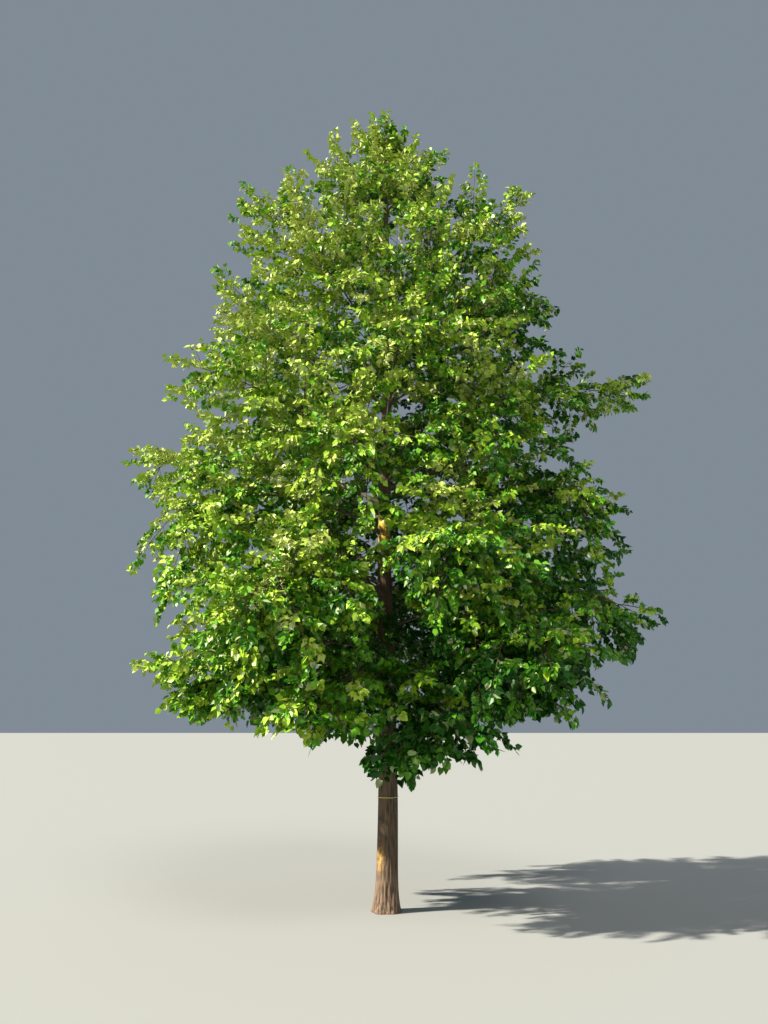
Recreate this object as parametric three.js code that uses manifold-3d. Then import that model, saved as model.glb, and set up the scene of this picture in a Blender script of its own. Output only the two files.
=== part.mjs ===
// A large-leaved linden as a nursery grows it: one straight leader, and a full crown over a clear stem.
// Each main bough bends out of the trunk and ends where its mass of twigs and leaves begins.
// Each leaf stands for a whole spray. Millimetres and degrees, +Z up, and azimuth 0 is +X.
// The origin is the middle of the flat cut at ground level.
import * as THREE from "three";
import { mergeVertices } from "three/addons/utils/BufferGeometryUtils.js";
import Module from "manifold-3d";

const wasm = await Module();
wasm.setup();

// Trunk
const TREE_HEIGHT = 7800;
const TRUNK_TOP = 6950;
const GIRTH_MARK_HEIGHT = 1000;
const GIRTH_MARK_RADIUS = 88;
const TAPER_HEIGHT = 8200;
const TAPER_POWER = 0.9;
const TRUNK_SWAY = 16;
const SWAY_LENGTH = 4300;
const FLARE_RADIUS = 34;
const FLARE_HEIGHT = 125;
const FLARE_LOBES = 5;
const FLARE_LOBE_SHARE = 0.3;
const FLARE_LOBE_TURN = 20;

// Outline of the crown
const CROWN_FOOT = 1350;
const SKIRT_HEIGHT = 1350;
const SKIRT_REACH = 1900;
const WIDEST_HEIGHT = 2500;
const WIDEST_REACH = 2430;
const SHOULDER_HEIGHT = 6200;
const SHOULDER_REACH = 1550;
const SPIRE_POWER = 1.15;
// Where one bough stands out of the outline, or falls short of it.
const SPURS = [
  { height: 2540, azimuth: 12, extra: 500 },
  { height: 3350, azimuth: -20, extra: 170 },
  { height: 3870, azimuth: 32, extra: 300 },
  { height: 4040, azimuth: 170, extra: 600 },
  { height: 4150, azimuth: 2, extra: -650 },
  { height: 4600, azimuth: 222, extra: 450 },
  { height: 4720, azimuth: 0, extra: 830 },
  { height: 6150, azimuth: 160, extra: 450 },
  { height: 6550, azimuth: 210, extra: 460 },
  { height: 6750, azimuth: -12, extra: 500 },
  { height: 7400, azimuth: 178, extra: 450 },
];
const SPUR_HALF_HEIGHT = 260;
const SPUR_HALF_ANGLE = 26;

// Limbs: a limb is a bough and the stem of the mass that grows on from it
const LIMBS = 36;
const LIMBS_WITHOUT_BOUGH = 17;
const FIRST_AZIMUTH = 45;
const GOLDEN_ANGLE = 137.5;
const AZIMUTH_JITTER = 5;
const LOWEST_TIP = 1450;
const HIGHEST_TIP = 7290;
const TIP_SPACING = 0.861;
const REACH_JITTER = 0.05;
const ROOT_RISE_LOW = 20;
const ROOT_RISE_HIGH = 56;
const TIP_RISE_LOW = -44;
const TIP_RISE_HIGH = 44;
const RISE_JITTER = 5.5;
const SIDE_BEND = 16;
const ROOT_RADIUS_LOW = 23;
const ROOT_RADIUS_HIGH = 13;
const COLLAR_SHARE = 0.5;
const COLLAR_LENGTH = 90;
const MASS_START = 0.24;
const MASS_START_RADIUS = 12;
const LIMB_TIP_RADIUS = 6.5;
const STEM_WIDENING = 1.4;
const LINE_STEPS = 24;
const STEM_ALLOWANCE = 0.02;

// Twigs and leaves of a mass
const TWIGS_LOW = 7;
const TWIGS_HIGH = 5;
const TWIG_LENGTH = 900;
const TWIG_SHORTENING_LOW = 0.25;
const TWIG_SHORTENING_HIGH = 0.5;
const TWIG_LENGTH_JITTER = 0.2;
const TWIG_FORK = 52;
const TWIG_FORK_JITTER = 10;
const TWIG_TILT = 70;
const TWIG_PLACE_JITTER = 0.3;
const STEEPEST_RISE = 75;
const UPRIGHT = 0.3;
const TWIG_ROOT_RADIUS = 6;
const TWIG_TIP_RADIUS = 5;
const TWIG_LEAST = 160;
const TWIG_BEND_LOW = -34;
const TWIG_BEND_HIGH = 24;
const CELL_OVERLAP = 140;
const REACH_SLACK = 90;
const LEAF_SPACING = 320;
const LEAF_LENGTH_LOW = 450;
const LEAF_LENGTH_HIGH = 380;
const LEAF_LENGTH_JITTER = 0.1;
const LEAF_WIDTH_SHARE = 0.8;
const LEAF_THICKNESS_SHARE = 0.03;
const LEAF_WIDEST_AT = 0.36;
const LEAF_RIB_AT = 0.16;
const LEAF_FORK = 48;
const LEAF_DROOP_LOW = 0.6;
const LEAF_DROOP_HIGH = 0.1;
const LEAF_FORK_JITTER = 16;
const LEAF_DROOP_JITTER = 0.8;
const LEAF_ROLL = 70;
const LEAF_SUNK = 2;
const TIP_LEAF_SUNK = 45;
const TWIG_BARE = 90;
const LEAF_ROOM = 0.75;
const LEAF_TRIES = 6;
const TRY_SHRINKS = 0.06;

// The leader's own mass
const LEADER_TWIGS = 7;
const LEADER_TWIG_LENGTH = 620;
const LEADER_FORK = 38;
const LEADER_LEAF_LENGTH = 300;
const LEADER_TWIG_START = 0.04;

// Small masses that shoot from the foot of the crown, straight out of the trunk
const LOW_SHOOTS = [
  { name: "low_left", height: 2120, azimuth: -112, length: 1550, tipRise: -42, foot: 1300 },
  { name: "low_right", height: 1960, azimuth: -72, length: 1100, tipRise: -52, foot: 1150 },
];
const LOW_SHOOT_TWIGS = { twigs: 6, twigLength: 760, leafLength: 380 };
const SPROUT = { name: "sprouts", height: 1420, azimuth: -78, length: 300, tipRise: -30, foot: 1050 };
const SPROUT_TWIGS = { twigs: 4, twigLength: 220, leafLength: 210 };
const SHOOT_ROOT_RISE = 8;
const SHOOT_TWIG_START = 0.4;
const SHOOT_LEAF_SPACING = 0.55;

const CLEARANCE = 0.3;
const CUT_MARGIN = 0.45;
const NEIGHBOUR_GAP = 6;
const TRUNK_SIDES = 12;
const TRUNK_STEPS = 18;
const TRUNK_STEP_POWER = 1.5;
const BOUGH_SIDES = 6;
const BOUGH_STEPS = 4;
const STEM_STEPS = 4;
const TWIG_STEPS = 2;
const TWIG_SIDES = 3;
const NEEDLESS_CORNER = 0.2;
const SEED = 20731;
const KEYS_PER_TWIG = 20;
// One number for each kind of luck, so that no two draws are alike.
const LUCK = {
  azimuth: 1,
  reach: 2,
  rootRise: 3,
  tipRise: 4,
  sideBend: 5,
  twigPlace: 11,
  twigTilt: 12,
  twigFork: 13,
  twigLength: 14,
  leafFork: 21,
  leafDroop: 22,
  leafRoll: 23,
  leafLength: 24,
};

const UP = new THREE.Vector3(0, 0, 1);
const BARK = new THREE.MeshStandardMaterial({ color: 0x6b5c4d, roughness: 0.9, metalness: 0 });
const LEAF = new THREE.MeshStandardMaterial({ color: 0x6f9a35, roughness: 0.6, metalness: 0 });

const radians = THREE.MathUtils.degToRad;
const lerp = THREE.MathUtils.lerp;
const clamp = THREE.MathUtils.clamp;

// A number from 0 to 1 that depends only on its keys, so that every limb keeps its own luck.
function chance(...keys) {
  let h = SEED;
  for (const key of keys) {
    h = Math.imul(h ^ key, 0x9e3779b1);
    h ^= h >>> 15;
  }
  h = Math.imul(h, 0x85ebca6b);
  h ^= h >>> 13;
  return (h >>> 0) / 4294967296;
}

// A number from -size to size.
function jitter(size, ...keys) {
  return size * (2 * chance(...keys) - 1);
}

function direction(azimuth, rise) {
  const flat = Math.cos(radians(rise));
  return new THREE.Vector3(
    flat * Math.cos(radians(azimuth)),
    flat * Math.sin(radians(azimuth)),
    Math.sin(radians(rise)),
  );
}

function spurs(height, azimuth) {
  let extra = 0;
  for (const spur of SPURS) {
    const up = (height - spur.height) / SPUR_HALF_HEIGHT;
    const turn = ((((azimuth - spur.azimuth + 180) % 360) + 360) % 360) - 180;
    const round = turn / SPUR_HALF_ANGLE;
    extra += spur.extra * Math.exp(-up * up - round * round);
  }
  return extra;
}

// How far the crown reaches from the trunk at a height, in a direction.
function crownReach(height, azimuth) {
  if (height > TREE_HEIGHT) return 0;
  let reach;
  if (height > SHOULDER_HEIGHT) {
    const u = (height - SHOULDER_HEIGHT) / (TREE_HEIGHT - SHOULDER_HEIGHT);
    reach = SHOULDER_REACH * (1 - u) ** SPIRE_POWER;
  } else if (height > WIDEST_HEIGHT) {
    const u = (height - WIDEST_HEIGHT) / (SHOULDER_HEIGHT - WIDEST_HEIGHT);
    reach = lerp(WIDEST_REACH, SHOULDER_REACH, u);
  } else {
    const u = clamp((height - SKIRT_HEIGHT) / (WIDEST_HEIGHT - SKIRT_HEIGHT), 0, 1);
    reach = lerp(SKIRT_REACH, WIDEST_REACH, u * u * (3 - 2 * u));
  }
  return reach + spurs(height, azimuth);
}

function trunkRadius(height) {
  const taper = ((TAPER_HEIGHT - height) / (TAPER_HEIGHT - GIRTH_MARK_HEIGHT)) ** TAPER_POWER;
  return GIRTH_MARK_RADIUS * taper + FLARE_RADIUS * Math.exp(-height / FLARE_HEIGHT);
}

// The trunk's middle at a height: nearly straight, with a slow sway that starts at nothing.
function trunkCentre(height) {
  const turn = (2 * Math.PI * height) / SWAY_LENGTH;
  return new THREE.Vector3(TRUNK_SWAY * Math.sin(turn), TRUNK_SWAY * (1 - Math.cos(turn)) * 0.5, height);
}

// A point on a line of equal steps, where u runs from 0 at its root to 1 at its tip.
function pointOn(line, u) {
  const place = clamp(u, 0, 1) * (line.length - 1);
  const i = Math.min(Math.floor(place), line.length - 2);
  return line[i].clone().lerp(line[i + 1], place - i);
}

function tangentOn(line, u) {
  const step = 0.5 / (line.length - 1);
  return pointOn(line, u + step)
    .sub(pointOn(line, u - step))
    .normalize();
}

// A line that leaves at one rise and reaches its tip at another, and turns evenly to one side.
function bentLine(start, azimuth, length, rootRise, tipRise, sideBend) {
  const line = [start.clone()];
  for (let i = 0; i < LINE_STEPS; i++) {
    const u = (i + 0.5) / LINE_STEPS;
    const step = direction(azimuth + sideBend * (2 * u - 1), lerp(rootRise, tipRise, u));
    line.push(line[i].clone().addScaledVector(step, length / LINE_STEPS));
  }
  return line;
}

function solidOf(geometry) {
  return new wasm.Manifold(
    new wasm.Mesh({
      numProp: 3,
      vertProperties: new Float32Array(geometry.attributes.position.array),
      triVerts: new Uint32Array(geometry.index.array),
    }),
  );
}

// The geometry with its shared corners merged, and each corner moved by place.
function deformed(geometry, place) {
  geometry.deleteAttribute("normal");
  geometry.deleteAttribute("uv");
  const merged = mergeVertices(geometry);
  const position = merged.attributes.position;
  const corner = new THREE.Vector3();
  for (let i = 0; i < position.count; i++) {
    place(corner.fromBufferAttribute(position, i));
    position.setXYZ(i, corner.x, corner.y, corner.z);
  }
  return merged;
}

// The straight stretches that a tube of so many steps makes of part of a line.
function chords(line, from, to, steps) {
  const points = [];
  for (let i = 0; i <= steps; i++) {
    points.push(pointOn(line, lerp(from, to, i / steps)));
  }
  return points;
}

// A closed tube along part of a line. radiusAt takes the place on the line.
function tube(line, from, to, sides, steps, radiusAt) {
  const frames = [];
  const side = new THREE.Vector3(1, 0, 0);
  for (let i = 0; i <= steps; i++) {
    const u = lerp(from, to, i / steps);
    const along = tangentOn(line, u);
    if (i === 0 && Math.hypot(along.x, along.y) > UPRIGHT) side.crossVectors(UP, along);
    side.addScaledVector(along, -side.dot(along)).normalize();
    const across = side.clone().cross(along);
    frames.push({ u, centre: pointOn(line, u), side: side.clone(), across });
  }
  const geometry = new THREE.CylinderGeometry(1, 1, 1, sides, steps);
  return deformed(geometry, (corner) => {
    const frame = frames[Math.round((corner.y + 0.5) * steps)];
    const radius = radiusAt(frame.u);
    const out = frame.side.clone().multiplyScalar(corner.x).addScaledVector(frame.across, corner.z);
    corner.copy(frame.centre).addScaledVector(out, radius);
  });
}

// A kite of eight faces with its base at the given point, its tip along, and its upper side towards up.
function leafGeometry(base, along, up, length) {
  const side = along.clone().cross(up).normalize();
  const normal = side.clone().cross(along);
  const width = length * LEAF_WIDTH_SHARE;
  const thickness = length * LEAF_THICKNESS_SHARE;
  return deformed(new THREE.OctahedronGeometry(1, 0), (corner) => {
    const { x, y, z } = corner;
    const ribAt = Math.abs(y) > 0.5 ? LEAF_WIDEST_AT : LEAF_RIB_AT;
    const reach = Math.abs(x) > 0.5 ? (x > 0 ? 1 : 0) : ribAt;
    corner
      .copy(base)
      .addScaledVector(along, reach * length)
      .addScaledVector(side, (y * width) / 2)
      .addScaledVector(normal, (-z * thickness) / 2);
  });
}

// Where a limb's outermost leaf ends, from its place in the spiral round the trunk.
function limbPlan(k) {
  const t = k / (LIMBS - 1);
  const azimuth = FIRST_AZIMUTH + k * GOLDEN_ANGLE + jitter(AZIMUTH_JITTER, k, LUCK.azimuth);
  const tipHeight = lerp(LOWEST_TIP, HIGHEST_TIP, t ** TIP_SPACING);
  const reach = crownReach(tipHeight, azimuth) * (1 + jitter(REACH_JITTER, k, LUCK.reach));
  const rootRise = lerp(ROOT_RISE_LOW, ROOT_RISE_HIGH, t) + jitter(RISE_JITTER, k, LUCK.rootRise);
  const tipRise = lerp(TIP_RISE_LOW, TIP_RISE_HIGH, t) + jitter(RISE_JITTER, k, LUCK.tipRise);
  const sideBend = jitter(SIDE_BEND, k, LUCK.sideBend);
  return { t, azimuth, tipHeight, reach, rootRise, tipRise, sideBend };
}

// A limb's line is as long as its reach asks for, and its root lies as far down as its rise asks for.
function limb(k) {
  const plan = limbPlan(k);
  let out = 0;
  let rise = 0;
  for (let i = 0; i < LINE_STEPS; i++) {
    const angle = radians(lerp(plan.rootRise, plan.tipRise, (i + 0.5) / LINE_STEPS));
    out += Math.cos(angle) / LINE_STEPS;
    rise += Math.sin(angle) / LINE_STEPS;
  }
  const leafLength = lerp(LEAF_LENGTH_LOW, LEAF_LENGTH_HIGH, plan.t);
  const leaf = leafLength - TIP_LEAF_SUNK;
  const tipAngle = radians(plan.tipRise);
  const length = (plan.reach - leaf * Math.cos(tipAngle)) / out;
  const rootHeight = plan.tipHeight - leaf * Math.sin(tipAngle) - length * rise;
  const root = trunkCentre(rootHeight);
  const line = bentLine(root, plan.azimuth, length, plan.rootRise, plan.tipRise, plan.sideBend);
  const hasBough = k < LIMBS - LIMBS_WITHOUT_BOUGH;
  return {
    name: String(k + 1).padStart(2, "0"),
    key: k,
    line,
    length,
    hasBough,
    stemStart: hasBough ? MASS_START + CLEARANCE / length : 0,
    twigStart: MASS_START,
    twigs: Math.round(lerp(TWIGS_LOW, TWIGS_HIGH, plan.t)),
    twigLength: TWIG_LENGTH,
    shortening: lerp(TWIG_SHORTENING_LOW, TWIG_SHORTENING_HIGH, plan.t),
    fork: TWIG_FORK,
    bend: lerp(TWIG_BEND_LOW, TWIG_BEND_HIGH, plan.t),
    leafLength,
    leafSpacing: LEAF_SPACING,
    leafDroop: lerp(LEAF_DROOP_LOW, LEAF_DROOP_HIGH, plan.t),
    foot: CROWN_FOOT,
    radiusAt: (u) => {
      if (u > MASS_START) {
        return lerp(MASS_START_RADIUS, LIMB_TIP_RADIUS, (u - MASS_START) / (1 - MASS_START));
      }
      const root = lerp(ROOT_RADIUS_LOW, ROOT_RADIUS_HIGH, plan.t);
      const free = Math.max(0, u * length - trunkRadius(rootHeight));
      const collar = root * COLLAR_SHARE * Math.exp(-free / COLLAR_LENGTH) * (1 - u / MASS_START);
      return lerp(root, MASS_START_RADIUS, u / MASS_START) + collar;
    },
  };
}

function leader() {
  const length = TREE_HEIGHT - LEADER_LEAF_LENGTH + TIP_LEAF_SUNK - TRUNK_TOP;
  return {
    name: "leader",
    key: LIMBS,
    line: bentLine(trunkCentre(TRUNK_TOP), 0, length, 90, 90, 0),
    length,
    hasBough: false,
    stemStart: CLEARANCE / length,
    twigStart: LEADER_TWIG_START,
    twigs: LEADER_TWIGS,
    twigLength: LEADER_TWIG_LENGTH,
    shortening: TWIG_SHORTENING_HIGH,
    fork: LEADER_FORK,
    bend: TWIG_BEND_HIGH,
    leafLength: LEADER_LEAF_LENGTH,
    leafSpacing: LEADER_LEAF_LENGTH / 2,
    leafDroop: 0,
    foot: CROWN_FOOT,
    radiusAt: (u) => lerp(trunkRadius(TRUNK_TOP), LIMB_TIP_RADIUS, u),
  };
}

function trunkShoot(key, plan, spray) {
  const { name, height, azimuth, length, tipRise, foot } = plan;
  const { twigs, twigLength, leafLength } = spray;
  return {
    name,
    key,
    line: bentLine(trunkCentre(height), azimuth, length, SHOOT_ROOT_RISE, tipRise, 0),
    length,
    hasBough: false,
    stemStart: 0,
    twigStart: SHOOT_TWIG_START,
    twigs,
    twigLength,
    shortening: TWIG_SHORTENING_LOW,
    fork: TWIG_FORK,
    bend: TWIG_BEND_LOW,
    leafLength,
    leafSpacing: SHOOT_LEAF_SPACING * leafLength,
    leafDroop: LEAF_DROOP_LOW,
    foot,
    radiusAt: () => TWIG_ROOT_RADIUS,
  };
}

// The trunk, with its root flare in low lobes. Its foot and its top are cut level.
function trunkGeometry(margin) {
  const geometry = new THREE.CylinderGeometry(1, 1, 1, TRUNK_SIDES, TRUNK_STEPS);
  return deformed(geometry, (corner) => {
    const height = TRUNK_TOP * clamp(corner.y + 0.5, 0, 1) ** TRUNK_STEP_POWER;
    const turn = Math.atan2(-corner.z, corner.x);
    const lobe = Math.cos(FLARE_LOBES * (turn - radians(FLARE_LOBE_TURN)));
    const flare = FLARE_RADIUS * Math.exp(-height / FLARE_HEIGHT) * FLARE_LOBE_SHARE * lobe;
    const radius = trunkRadius(height) + flare + margin;
    const { x, z } = corner;
    corner.copy(trunkCentre(height));
    corner.x += radius * x;
    corner.y -= radius * z;
  });
}

const limbs = [];
for (let k = 0; k < LIMBS; k++) {
  limbs.push(limb(k));
}
limbs.push(leader());
for (const plan of LOW_SHOOTS) {
  limbs.push(trunkShoot(limbs.length, plan, LOW_SHOOT_TWIGS));
}
limbs.push(trunkShoot(limbs.length, SPROUT, SPROUT_TWIGS));

function distanceToStem(point, owner) {
  let least = Infinity;
  for (let i = 0; i <= LINE_STEPS; i++) {
    if (i / LINE_STEPS < owner.stemStart - STEM_ALLOWANCE) continue;
    least = Math.min(least, point.distanceTo(owner.line[i]));
  }
  return least;
}

// A mass keeps to the places that lie nearer to its own stem than to any other, and inside the outline.
function isOwnSpace(point, owner) {
  const azimuth = THREE.MathUtils.radToDeg(Math.atan2(point.y, point.x));
  const reach = crownReach(point.z, azimuth) + REACH_SLACK;
  if (point.z > TREE_HEIGHT || point.z < owner.foot) return false;
  if (Math.hypot(point.x, point.y) > reach) return false;
  const own = distanceToStem(point, owner) - CELL_OVERLAP;
  return limbs.every((other) => other === owner || distanceToStem(point, other) > own);
}

const placed = [];

function boxesMeet(a, b) {
  return [0, 1, 2].every((i) => a.min[i] - NEIGHBOUR_GAP < b.max[i] && b.min[i] - NEIGHBOUR_GAP < a.max[i]);
}

// Adds a piece when it is clear of all others but the one that carries it.
function place(solid, carrier) {
  const box = solid.boundingBox();
  for (const other of placed) {
    if (other === carrier || !boxesMeet(box, other.box)) continue;
    if (solid.minGap(other.solid, NEIGHBOUR_GAP) < NEIGHBOUR_GAP) return null;
  }
  const piece = { solid, box };
  placed.push(piece);
  return piece;
}

const trunk = { solid: solidOf(trunkGeometry(0)) };
trunk.box = trunk.solid.boundingBox();
const trunkCut = solidOf(trunkGeometry(CUT_MARGIN));
placed.push(trunk);

for (const owner of limbs) {
  if (owner.hasBough) {
    const whole = solidOf(tube(owner.line, 0, MASS_START, BOUGH_SIDES, BOUGH_STEPS, owner.radiusAt));
    const solid = whole.subtract(trunkCut);
    owner.bough = { solid, box: solid.boundingBox() };
    placed.push(owner.bough);
  }
}
for (const owner of limbs) {
  const radiusAt = (u) => STEM_WIDENING * owner.radiusAt(u);
  const whole = solidOf(tube(owner.line, owner.stemStart, 1, TWIG_SIDES, STEM_STEPS, radiusAt));
  const solid = owner.stemStart === 0 ? whole.subtract(trunkCut) : whole;
  owner.path = chords(owner.line, owner.stemStart, 1, STEM_STEPS);
  owner.stem = { solid, box: solid.boundingBox() };
  placed.push(owner.stem);
}

// A twig's direction: it forks from the stem to one side, tilted up or down out of the spray.
function twigLine(owner, i) {
  const u = (i + 0.5 + jitter(TWIG_PLACE_JITTER, owner.key, i, LUCK.twigPlace)) / owner.twigs;
  const place = lerp(owner.twigStart, 1, u);
  const start = pointOn(owner.path, (place - owner.stemStart) / (1 - owner.stemStart));
  const along = tangentOn(owner.line, place);
  const side = new THREE.Vector3(-along.y, along.x, 0);
  if (side.length() < UPRIGHT) side.copy(direction(i * GOLDEN_ANGLE, 0));
  side.normalize().multiplyScalar(i % 2 ? 1 : -1);
  side.applyAxisAngle(along, radians(jitter(TWIG_TILT, owner.key, i, LUCK.twigTilt)));
  const fork = radians(owner.fork + jitter(TWIG_FORK_JITTER, owner.key, i, LUCK.twigFork));
  const way = along.multiplyScalar(Math.cos(fork)).addScaledVector(side, Math.sin(fork));
  const azimuth = THREE.MathUtils.radToDeg(Math.atan2(way.y, way.x));
  const rise = THREE.MathUtils.radToDeg(Math.asin(clamp(way.z, -1, 1)));
  const luck = jitter(TWIG_LENGTH_JITTER, owner.key, i, LUCK.twigLength);
  const wanted = owner.twigLength * (1 - owner.shortening * u) * (1 + luck);
  const tipRise = clamp(rise + owner.bend, -STEEPEST_RISE, STEEPEST_RISE);
  const line = bentLine(start, azimuth, wanted, rise, tipRise, 0);
  const room = LEAF_ROOM * owner.leafLength;
  const hasRoom = (n) => {
    const tip = line[n].clone().addScaledVector(tangentOn(line, n / LINE_STEPS), room);
    return isOwnSpace(tip, owner);
  };
  let last = 0;
  while (last < LINE_STEPS && hasRoom(last + 1)) last += 1;
  return { line: chords(line, 0, last / LINE_STEPS, TWIG_STEPS), length: (wanted * last) / LINE_STEPS };
}

// A leaf at a place on a twig, turned out to one side, or at its tip where side is 0.
function leafOn(carrier, line, u, side, owner, key) {
  const along = tangentOn(line, u);
  for (let n = 0; n < LEAF_TRIES; n++) {
    const across = new THREE.Vector3(-along.y, along.x, 0).normalize();
    const fork = side * radians(LEAF_FORK + jitter(LEAF_FORK_JITTER, owner.key, key, n, LUCK.leafFork));
    const way = along.clone().multiplyScalar(Math.cos(fork)).addScaledVector(across, Math.sin(fork));
    way.z -= owner.leafDroop * (1 + jitter(LEAF_DROOP_JITTER, owner.key, key, n, LUCK.leafDroop));
    way.normalize();
    const roll = jitter(LEAF_ROLL, owner.key, key, n, LUCK.leafRoll);
    const up = UP.clone().applyAxisAngle(way, radians(roll));
    const size = 1 + jitter(LEAF_LENGTH_JITTER, owner.key, key, n, LUCK.leafLength) - n * TRY_SHRINKS;
    const length = owner.leafLength * size;
    const sunk = side === 0 ? TIP_LEAF_SUNK : LEAF_SUNK;
    const base = pointOn(line, u).addScaledVector(way, -sunk);
    const tip = base.clone().addScaledVector(way, length);
    if (!isOwnSpace(tip, owner)) continue;
    const leaf = place(solidOf(leafGeometry(base, way, up, length)), carrier);
    if (leaf) return leaf;
  }
  return null;
}

// The leaves of a twig: one at its tip, and others by turns on either side, down to its bare foot.
function leavesOn(twig, line, length, owner, key) {
  const leaves = [leafOn(twig, line, 1, 0, owner, key)];
  for (let at = length - owner.leafSpacing, n = 1; at > TWIG_BARE; at -= owner.leafSpacing, n += 1) {
    leaves.push(leafOn(twig, line, at / length, n % 2 ? 1 : -1, owner, key + n));
  }
  return leaves;
}

// The mass of one limb: its stem, the twigs that fork from it and their leaves, as one body.
function growMass(owner) {
  const pieces = [owner.stem, leafOn(owner.stem, owner.path, 1, 0, owner, KEYS_PER_TWIG * owner.twigs)];
  for (let i = 0; i < owner.twigs; i++) {
    const { line, length } = twigLine(owner, i);
    if (length < TWIG_LEAST) continue;
    const radiusAt = (u) => lerp(TWIG_ROOT_RADIUS, TWIG_TIP_RADIUS, u);
    const twig = place(solidOf(tube(line, 0, 1, TWIG_SIDES, TWIG_STEPS, radiusAt)), owner.stem);
    if (!twig) continue;
    pieces.push(twig, ...leavesOn(twig, line, length, owner, KEYS_PER_TWIG * i));
  }
  return wasm.Manifold.union(pieces.filter(Boolean).map((piece) => piece.solid));
}

// The largest body of a solid, without loose scrap and sealed hollows, and without needless corners.
function largestBody(solid) {
  const bodies = solid.asOriginal().simplify(NEEDLESS_CORNER).decompose();
  return bodies.reduce((best, body) => (body.volume() > best.volume() ? body : best));
}

function meshOf(name, solid, material) {
  const { vertProperties, triVerts } = solid.getMesh();
  const geometry = new THREE.BufferGeometry();
  geometry.setAttribute("position", new THREE.BufferAttribute(vertProperties, 3));
  geometry.setIndex(new THREE.BufferAttribute(triVerts, 1));
  geometry.computeVertexNormals();
  const mesh = new THREE.Mesh(geometry, material);
  mesh.name = name;
  return mesh;
}

const tree = new THREE.Group();
tree.add(meshOf("trunk", trunk.solid, BARK));
for (const owner of limbs) {
  if (owner.hasBough) {
    tree.add(meshOf(`bough_${owner.name}`, largestBody(owner.bough.solid), BARK));
  }
  tree.add(meshOf(`foliage_${owner.name}`, largestBody(growMass(owner)), LEAF));
}

export default tree;
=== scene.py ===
# A large-leaved linden as a nursery grows it, in full leaf, seen at eye level. Metres and degrees, +Z up.
# Azimuth 0 is +X, and the viewer stands on the -Y side.
import math
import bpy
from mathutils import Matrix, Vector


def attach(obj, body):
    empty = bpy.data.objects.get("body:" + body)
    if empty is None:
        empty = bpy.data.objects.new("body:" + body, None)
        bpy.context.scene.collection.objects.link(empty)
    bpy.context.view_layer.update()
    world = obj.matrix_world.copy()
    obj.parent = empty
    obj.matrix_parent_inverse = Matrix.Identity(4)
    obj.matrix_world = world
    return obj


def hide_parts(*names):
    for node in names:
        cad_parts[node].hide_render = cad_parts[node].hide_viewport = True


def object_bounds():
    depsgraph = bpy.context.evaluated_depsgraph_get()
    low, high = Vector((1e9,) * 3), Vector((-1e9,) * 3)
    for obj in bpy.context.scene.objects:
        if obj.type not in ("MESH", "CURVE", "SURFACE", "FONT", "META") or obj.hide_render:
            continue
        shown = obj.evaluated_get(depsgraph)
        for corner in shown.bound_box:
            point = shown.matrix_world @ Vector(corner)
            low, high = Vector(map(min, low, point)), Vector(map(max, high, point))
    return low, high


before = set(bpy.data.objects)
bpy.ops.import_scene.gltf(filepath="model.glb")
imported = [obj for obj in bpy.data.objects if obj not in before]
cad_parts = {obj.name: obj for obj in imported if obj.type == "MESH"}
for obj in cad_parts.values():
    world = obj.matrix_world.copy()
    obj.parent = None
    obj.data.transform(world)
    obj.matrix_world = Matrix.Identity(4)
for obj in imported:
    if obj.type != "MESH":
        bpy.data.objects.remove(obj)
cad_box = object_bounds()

from types import SimpleNamespace

import bpy
import numpy as np

# Trunk
TREE_HEIGHT = 7.8
TRUNK_TOP = 6.95
GIRTH_MARK_HEIGHT = 1.0
GIRTH_MARK_RADIUS = 0.088
TAPER_HEIGHT = 8.2
TAPER_POWER = 0.9
TRUNK_SWAY = 0.016
SWAY_LENGTH = 4.3
FLARE_RADIUS = 0.034
FLARE_HEIGHT = 0.125
FLARE_LOBES = 5
FLARE_LOBE_SHARE = 0.3
FLARE_LOBE_TURN = 20

# Outline of the crown
CROWN_FOOT = 1.35
SKIRT_HEIGHT = 1.35
SKIRT_REACH = 1.9
WIDEST_HEIGHT = 2.5
WIDEST_REACH = 2.43
SHOULDER_HEIGHT = 6.2
SHOULDER_REACH = 1.55
SPIRE_POWER = 1.15
# The least reach that a depth in the crown is a share of.
LEAST_REACH = 0.3
# Where one bough stands out of the outline, or falls short of it: height, azimuth, extra.
SPURS = (
    (2.54, 12, 0.5),
    (3.35, -20, 0.17),
    (3.87, 32, 0.3),
    (4.04, 170, 0.6),
    (4.15, 2, -0.65),
    (4.6, 222, 0.45),
    (4.72, 0, 0.83),
    (6.15, 160, 0.45),
    (6.55, 210, 0.46),
    (6.75, -12, 0.5),
    (7.4, 178, 0.45),
)
SPUR_HALF_HEIGHT = 0.26
SPUR_HALF_ANGLE = 26

# Limbs: a limb is a bough and the stem of the mass that grows on from it
LIMBS = 36
LIMBS_WITHOUT_BOUGH = 17
FIRST_AZIMUTH = 45
GOLDEN_ANGLE = 137.5
GOLDEN_SHARE = 0.618
AZIMUTH_JITTER = 5
LOWEST_TIP = 1.45
HIGHEST_TIP = 7.29
TIP_SPACING = 0.861
REACH_JITTER = 0.05
ROOT_RISE_LOW = 20
ROOT_RISE_HIGH = 56
TIP_RISE_LOW = -44
TIP_RISE_HIGH = 44
RISE_JITTER = 5.5
SIDE_BEND = 16
ROOT_RADIUS_LOW = 0.023
ROOT_RADIUS_HIGH = 0.013
COLLAR_SHARE = 0.5
COLLAR_LENGTH = 0.09
# Where on its line a limb turns from bough to stem.
MASS_START = 0.24
MASS_START_RADIUS = 0.012
STEM_TIP_RADIUS = 0.003
# How far below its start a stem still owns the space round it, as a share of its line.
STEM_LEAD = 0.02
# No mass of a limb reaches lower than this.
LIMB_FOOT = 1.55
LINE_STEPS = 24
BOUGH_SIDES = 10
CLEARANCE = 0.0003
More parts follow.
